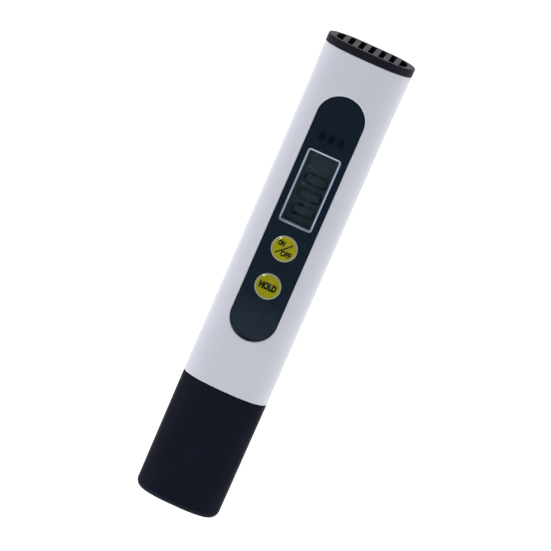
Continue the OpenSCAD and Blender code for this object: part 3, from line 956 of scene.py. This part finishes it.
def drawer():
    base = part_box("front_shell")[1].y + 0.1 * MM
    edge, small = 0.3 * MM, 0.12 * MM
    loops = []
    for a in quarter(3):
        shrink = small * (1 - sin(a))
        loops.append(oval(base + small * (1 - cos(a)), TOP_HALF - shrink, HALF_T - shrink))
    for a in quarter(6):
        shrink = edge * (1 - cos(a))
        loops.append(oval(HIGH.y - edge + edge * sin(a), TOP_HALF - shrink, HALF_T - shrink))
    cover = loft("cover", loops)
    play, bevel, sunk = 0.15 * MM, 0.2 * MM, 0.5 * MM
    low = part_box("battery_drawer")[0].y
    tray_end = low + 13 * MM
    plug_low, plug_high = FLOOR_Z + 0.1 * MM, CEILING_Z - 0.1 * MM
    plug = loft("plug", [oval(y, BAY_HALF - play - d, BAY_RISE - play - d,
                              low=plug_low + d, high=plug_high - d)
                         for y, d in ((tray_end - sunk, bevel), (tray_end - sunk + bevel, 0),
                                      (base + sunk, 0))])
    tray_half, tray_low, tray_high = 11.6 * MM, 2.6 * MM, 9 * MM
    tray = loft("tray", [[Vector((max(min(p.x, tray_half), -tray_half), p.y, p.z)) for p in
                          oval(y, BAY_HALF - play, BAY_RISE - play,
                               low=tray_low + d, high=tray_high - d)]
                         for y, d in ((low, bevel), (low + bevel, 0), (tray_end, 0))])
    whole = combine(cover, [plug, tray], "UNION")
    cutters = grille_cutters()
    deeper = 0.3 * MM
    for node in ("cell_left", "cell_right"):
        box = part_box(node)
        at = middle(box)
        r = (box[1].x - box[0].x) / 2 + 0.075 * MM
        cutters.append(column(at.x, at.y, r, box[0].z - deeper, HIGH.z))
    bridge_low, bridge_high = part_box("cell_bridge")
    gap = Vector((0.05, 0.1, 0)) * MM
    notch_high = Vector((bridge_high.x, bridge_high.y, bridge_low.z + deeper))
    cutters.append(block("notch", bridge_low - gap, notch_high + gap))
    whole = combine(whole, cutters)
    place_piece(whole, "drawer_moulding", "drawer", DRAWER_DARK,
                ["battery_drawer"])


def cell(node, cup_up):
    """Button cell: a can with a round edge, a groove and the narrower cup."""
    low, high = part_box(node)
    r = (high.x - low.x) / 2
    height = high.z - low.z
    cup, groove, lip = 0.45 * MM, 0.25 * MM, 0.35 * MM
    cup_r = r - 1.1 * MM
    profile = [(0, 0)] + rounded(r, 0, 0.5 * MM, turn=-1) + rounded(r, height - cup, lip)
    profile += [(r - 0.8 * MM, height - cup), (r - 0.9 * MM, height - cup - groove),
                (cup_r, height - cup - groove)]
    profile += rounded(cup_r, height, lip) + [(0, height)]
    centre = middle((low, high))
    place = Matrix.Translation((centre.x, centre.y, low.z))
    if not cup_up:
        place = place @ Matrix.Translation((0, 0, height)) @ Matrix.Rotation(pi, 4, "X")
    place_piece(lathe(node, profile, place), node + "_can", "drawer", CELL_STEEL,
                [node])


# ---- Buttons ----

def lettering(name, text, x, y, height, width, z, bold=0.0):
    """Plain words in the default letterform, stretched to a height and a width."""
    curve = bpy.data.curves.new(name, "FONT")
    curve.body = text
    curve.align_x = "CENTER"
    curve.align_y = "CENTER"
    curve.extrude = 0.5
    curve.offset = bold
    source = add_object(name, curve)
    mesh = evaluated_mesh(source)
    bpy.data.objects.remove(source)
    xs = [v.co.x for v in mesh.vertices]
    ys = [v.co.y for v in mesh.vertices]
    ink = 0.02 * MM
    grow = Matrix.Diagonal((width / (max(xs) - min(xs)), height / (max(ys) - min(ys)), ink, 1))
    centre = Matrix.Translation((-(max(xs) + min(xs)) / 2, -(max(ys) + min(ys)) / 2, 0.5))
    mesh.transform(Matrix.Translation((x, y, z)) @ grow @ centre)
    finish_mesh(mesh)
    return add_object(name, mesh)


# Text, X and Y from the button's middle, height and width in mm, and boldness.
LEGENDS = {"power": [("ON", -1.4, 1.45, 1.75, 2.2, 0.08), ("OFF", 1.1, -1.4, 1.9, 3.3, 0.05)],
           "hold": [("HOLD", 0, 0, 2.4, 5.6, 0.085)]}


def button(kind):
    box = BUTTONS[kind]
    body = kind + "_key"
    y = middle(box).y
    place = Matrix.Translation((0, y, 0))
    disc_r, _, rim_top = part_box(kind + "_disc")[1]
    stalk_low, flange_low = box[0].z, 10.5 * MM
    flange_top = CEILING_Z - 0.1 * MM
    flange_r = box[1].x
    stalk_r, chamfer, edge = 1.7 * MM, 0.1 * MM, 0.1 * MM
    profile = [(0, stalk_low), (stalk_r - chamfer, stalk_low), (stalk_r, stalk_low + chamfer),
               (stalk_r, flange_low)]
    profile += rounded(flange_r, flange_low, edge, turn=-1) + rounded(flange_r, flange_top, edge)
    profile += [(BUTTON_R, flange_top)] + rounded(BUTTON_R, rim_top, 0.15 * MM)
    dish = rim_top - 0.3 * MM
    dish_r, lead = disc_r + 0.02 * MM, 0.08 * MM
    profile += [(dish_r + lead, rim_top), (dish_r, rim_top - lead), (dish_r, dish), (0, dish)]
    place_piece(lathe(kind, profile, place), kind + "_button_moulding", body,
                BUTTON_PALE, [kind + "_button"])
    disc_top = rim_top - 0.03 * MM
    place_piece(lathe(kind, drum(disc_r, dish, disc_top, 0.05 * MM), place),
                kind + "_legend_disc", body, DISC_YELLOW, [kind + "_disc"])
    dome_low, dome_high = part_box(kind + "_dome")
    rise, reach = dome_high.z - dome_low.z, dome_high.x
    foot = 0.01 * MM
    bend = (reach * reach + rise * rise) / (2 * rise)
    profile = [(0, rim_top), (reach - foot, rim_top), (reach, rim_top + foot)]
    steps = 12
    for i in range(1, steps + 1):
        r = reach * (1 - i / steps)
        profile.append((r, rim_top + sqrt(bend * bend - r * r) - (bend - rise)))
    place_piece(lathe(kind, profile, place, 96), kind + "_dome_lens", body,
                DOME_CLEAR, [kind + "_dome"])
    ink_z = disc_top + 0.005 * MM
    words = [lettering("word", text, x * MM, y + up * MM, height * MM, width * MM, ink_z, bold)
             for text, x, up, height, width, bold in LEGENDS[kind]]
    if kind == "power":
        h, w = 2.95 * MM, 0.21 * MM
        turn = Matrix.Rotation(radians(42.5), 2)
        bar = [turn @ Vector(p) for p in ((-h, -w), (h, -w), (h, w), (-h, w))]
        words.append(prism("slash", [(p.x, y + p.y) for p in bar], ink_z, ink_z + 0.02 * MM))
    place_piece(joined("words", words), kind + "_legend_print", body, INK_BLACK)


# ---- Probe ----

def probe():
    low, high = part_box("probe_holder")
    half, rise = NECK_HALF - 0.2 * MM, NECK_RISE - 0.2 * MM
    corner, edge, steps = 2.5 * MM, 0.8 * MM, 8
    loops = [oval(low.y + d, half - rounded_in(d, corner), rise - rounded_in(d, edge))
             for d in (corner * (k / steps) ** 2 for k in range(steps + 1))]
    small, lead = 0.15 * MM, 0.3 * MM
    plug = WALL + 0.1 * MM
    loops += [oval(NECK_LOW - small, half, rise), oval(NECK_LOW, half - small, rise - small),
              neck_oval(NECK_LOW, -plug), neck_oval(high.y - lead, -plug),
              neck_oval(high.y, -plug - lead)]
    form = loft("holder", loops)
    gap_end = low.y + 9 * MM
    gap_half = 7.3 * MM
    r = 1 * MM
    gap = [(-gap_half, low.y - r), (gap_half, low.y - r)]
    for k, sx in ((0, 1), (1, -1)):
        for i in range(steps + 1):
            a = pi / 2 * (k + i / steps)
            gap.append((sx * (gap_half - r) + r * cos(a), gap_end - r + r * sin(a)))
    cutters = [prism("gap", gap, -r, HIGH.z + r)]
    boss_hole_r = 2.5 * MM
    cutters += [column(x, y, boss_hole_r, 0, HIGH.z) for x, y in screw_places("case_screws")]
    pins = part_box("probe_pins")
    pin_r = (pins[1].z - pins[0].z) / 2
    places = [Matrix.Translation((x, 0, MID_Z)) @ Matrix.Rotation(-pi / 2, 4, "X")
              for x in (pins[0].x + pin_r, pins[1].x - pin_r)]
    bore_r = pin_r + 0.02 * MM
    bore = [(0, gap_end - r), (bore_r, gap_end - r), (bore_r, high.y + r), (0, high.y + r)]
    cutters += [lathe("bore", bore, place, 48) for place in places]
    combine(form, cutters)
    bevelled(form, 0.12 * MM, 2, 50)
    place_piece(form, "probe_moulding", "housing", CAP_DARK, ["probe_holder"])
    made = [lathe("pin", drum(pin_r, pins[0].y, pins[1].y, 0.5 * MM), place) for place in places]
    place_piece(joined("pins", made), "probe_pin_pair", "housing", PIN_METAL,
                ["probe_pins"])


def screws(node, piece):
    """Screws with a round-edged head and a cross recess, heads down."""
    low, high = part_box(node)
    head, shank, tip = 1.2 * MM, 0.95 * MM, 0.3 * MM
    arm, w, depth, over = 1.05 * MM, 0.22 * MM, 0.7 * MM, 0.2 * MM
    profile = [(0, low.z)] + rounded(SCREW_R, low.z, 0.35 * MM, turn=-1)
    profile += [(SCREW_R, low.z + head), (shank, low.z + head), (shank, high.z - tip),
                (shank - tip, high.z), (0, high.z)]
    made = []
    for x, y in screw_places(node):
        one = lathe("screw", profile, Matrix.Translation((x, y, 0)), 48)
        centre = Vector((x, y, low.z))
        bars = [block("arm", centre - Vector((a, b, over)), centre + Vector((a, b, depth)))
                for a, b in ((arm, w), (w, arm))]
        made.append(combine(one, bars))
    place_piece(joined(piece, made), piece, "housing", STEEL, [node])


# ---- CAD nodes that keep their shape ----

def kept_nodes():
    """Materials, and round edges where a piece has sharp ones, for the inner parts."""
    looks = {
        "lcd_frame": (FRAME_BLACK, 0.15), "zebra_strips": (ZEBRA, 0.1),
        "circuit_board": (BOARD_GREEN, 0.05), "main_chip": (RESIN_BLACK, 0.0),
        "board_parts": (CHIP_PARTS, 0.08), "switch_bases": (FRAME_BLACK, 0.15),
        "battery_contacts": (BRASS, 0.06), "thermistor": (BEAD_RED, 0.5),
        "probe_leads": (LEAD_RED, 0.0), "cell_bridge": (BRASS, 0.05),
        "power_plunger": (FRAME_BLACK, 0.2), "hold_plunger": (FRAME_BLACK, 0.2)}
    for name, (material, edge) in looks.items():
        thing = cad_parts[name]
        paint(thing, material)
        if edge:
            bevelled(thing, edge * MM)


# ---- Stage, light and camera ----

def stage():
    mesh = bpy.data.meshes.new("floor")
    size = 4.0
    mesh.from_pydata([(-size, -size, 0), (size, -size, 0), (size, size, 0), (-size, size, 0)],
                     [], [(0, 1, 2, 3)])
    floor = add_object("floor", mesh)
    floor.location.z = LOW.z - 0.02 * MM
    pale = plastic("floor_pale", (0.42, 0.42, 0.42), 0.004, (0.6, 0.7), 2 * MM, 0.002 * MM,
                   patch=0.2)
    glow = pale.node_tree.nodes["Principled BSDF"]
    glow.inputs["Emission Color"].default_value = (1, 1, 1, 1)
    glow.inputs["Emission Strength"].default_value = 0.9
    floor.data.materials.append(pale)


WARM = (1, 0.99, 0.96)
VIOLET = (1, 0.98, 1.02)
BLUE = (0.78, 1, 1.26)


def area_lamp(name, size, watts, tint):
    """A rectangular lamp that faces down."""
    lamp = bpy.data.lights.new(name, "AREA")
    lamp.shape = "RECTANGLE"
    lamp.size, lamp.size_y = size
    lamp.energy = watts
    lamp.color = tint
    return add_object(name, lamp)


def softbox(name, azimuth, elevation, distance, size, watts, tint=(1, 1, 1)):
    """A lamp aimed at the middle of the frame. Azimuth is from +X, towards +Y."""
    thing = area_lamp(name, size, watts, tint)
    a, e = radians(azimuth), radians(elevation)
    way = Vector((cos(e) * cos(a), cos(e) * sin(a), sin(e)))
    thing.location = way * distance
    thing.rotation_euler = way.to_track_quat("Z", "Y").to_euler()


def sky():
    """Even studio surroundings: dim overhead, lighter towards the horizon."""
    world = bpy.data.worlds.new("world")
    bpy.context.scene.world = world
    world.use_nodes = True
    tree = world.node_tree
    parts = add_node(tree, "SeparateXYZ")
    ramp = add_node(tree, "ValToRGB")
    ramp.color_ramp.elements[0].color = (0.6, 0.6, 0.62, 1)
    ramp.color_ramp.elements[1].color = (0.07, 0.08, 0.10, 1)
    ramp.color_ramp.elements[1].position = 0.8
    tree.links.new(add_node(tree, "TexCoord").outputs["Generated"], parts.inputs["Vector"])
    tree.links.new(parts.outputs["Z"], ramp.inputs["Fac"])
    tree.links.new(ramp.outputs["Color"], tree.nodes["Background"].inputs["Color"])


def lights():
    """Two weak lamps beyond the battery end and two strong ones before the cap, low and
    wide, so that the label mirrors them dimly. A small high lamp makes the sparkle on the
    buttons, and the label's lower end mirrors a faint card."""
    sky()
    softbox("left_far", 138, 24, 1.5, (2.0, 1.1), 5.3, VIOLET)
    softbox("right_far", 42, 24, 1.5, (2.0, 1.1), 4.8, WARM)
    softbox("left_near", 235, 24, 1.8, (3.0, 1.4), 29.5, VIOLET)
    softbox("right_near", -55, 24, 1.8, (3.0, 1.4), 26.5, WARM)
    softbox("sparkle", 161, 66, 2.0, (0.2, 0.2), 3.0)
    card = area_lamp("card", (0.2, 0.052), 0.028, BLUE)
    card.location = Vector((-70, -359, 1213)) * MM
    bpy.context.scene.view_settings.view_transform = "Standard"


def camera():
    """Looks at the pen from in front, a little from its battery end and its right."""
    frame_px, focal_px, distance = 551, 4098, 1.25
    tilt, side, roll = radians(14.6), radians(3.3), radians(23.59)
    shift_right, shift_up = 0.945 * MM, 1.07 * MM
    back = Vector((tan(side), tan(tilt), 1)).normalized()
    along = (Vector((0, 1, 0)) - back * back.y).normalized()
    across = along.cross(back)
    right = across * cos(roll) + along * sin(roll)
    up = -across * sin(roll) + along * cos(roll)
    data = bpy.data.cameras.new("camera")
    data.sensor_width = 36
    data.lens = data.sensor_width * focal_px / frame_px
    data.clip_end = 20
    cam = add_object("camera", data)
    place = Vector((0, 0, MID_Z)) + right * shift_right + up * shift_up + back * distance
    turn = Matrix((right, up, back)).transposed().to_4x4()
    cam.matrix_world = Matrix.Translation(place) @ turn
    bpy.context.scene.camera = cam


camera()
lights()
stage()
front_shell()
rear_shell()
label()
window()
display()
label_marks()
cap()
seal()
drawer()
cell("cell_left", True)
cell("cell_right", False)
for kind in BUTTONS:
    button(kind)
probe()
screws("case_screws", "case_screw_pair")
screws("board_screws", "board_screw_pair")
kept_nodes()
